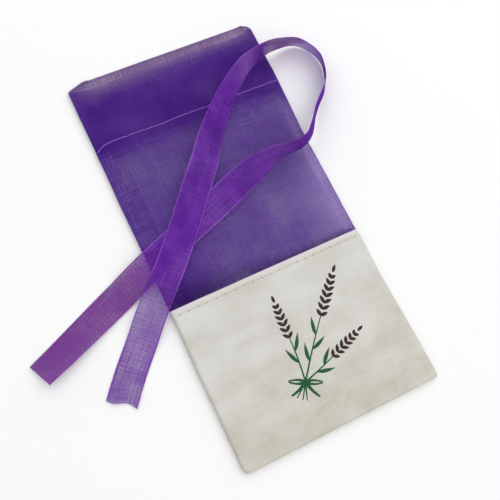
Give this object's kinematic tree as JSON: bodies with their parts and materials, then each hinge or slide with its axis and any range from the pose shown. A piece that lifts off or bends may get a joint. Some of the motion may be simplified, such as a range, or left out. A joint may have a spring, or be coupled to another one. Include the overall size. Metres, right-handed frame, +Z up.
{
  "type": "lavender sachet",
  "caption": "Flat sewn pouch with a cotton pocket for dried lavender, a sheer organza top with a hemmed mouth, and a loose tie ribbon.",
  "frame": {"origin": "on the table, under the middle of the back cotton panel's outer face", "axes": "+X across the pouch to its right side, +Y along the pouch from the bottom seam to the mouth, +Z up out of the front"},
  "size_m": [0.163, 0.1725, 0.0158],
  "materials": {
    "cotton": "plain woven cream cotton, matte",
    "organza": "sheer violet organza with a soft sheen",
    "ribbon": "sheer violet ribbon with denser woven edges",
    "lilac_thread": "spun sewing thread",
    "beige_thread": "spun sewing thread",
    "dried_lavender": "dry grey-violet flower buds, matte"
  },
  "bodies": {
    "pouch_back": {"back_cotton_panel": "cotton", "back_organza_panel": "organza", "back_join_thread": "beige_thread", "back_hem_thread": "lilac_thread", "left_seam_thread": "lilac_thread", "right_seam_thread": "lilac_thread", "bottom_seam_thread": "beige_thread", "lavender_filling": "dried_lavender"},
    "pouch_front": {"front_cotton_panel": "cotton", "front_organza_panel": "organza", "front_join_thread": "beige_thread", "front_hem_thread": "lilac_thread"},
    "ribbon": {"tie_ribbon": "ribbon"}
  },
  "joints": [
    {"name": "mouth_open", "type": "hinge", "parent": "pouch_back", "child": "pouch_front", "pos_m": [0, -0.0335, 0.00185], "axis": [1, 0, 0], "range_deg": [0, 7]},
    {"name": "ribbon_lift", "type": "slide", "parent": "pouch_front", "child": "ribbon", "axis": [0, 0, 1], "range_m": [0, 0.08]}
  ]
}
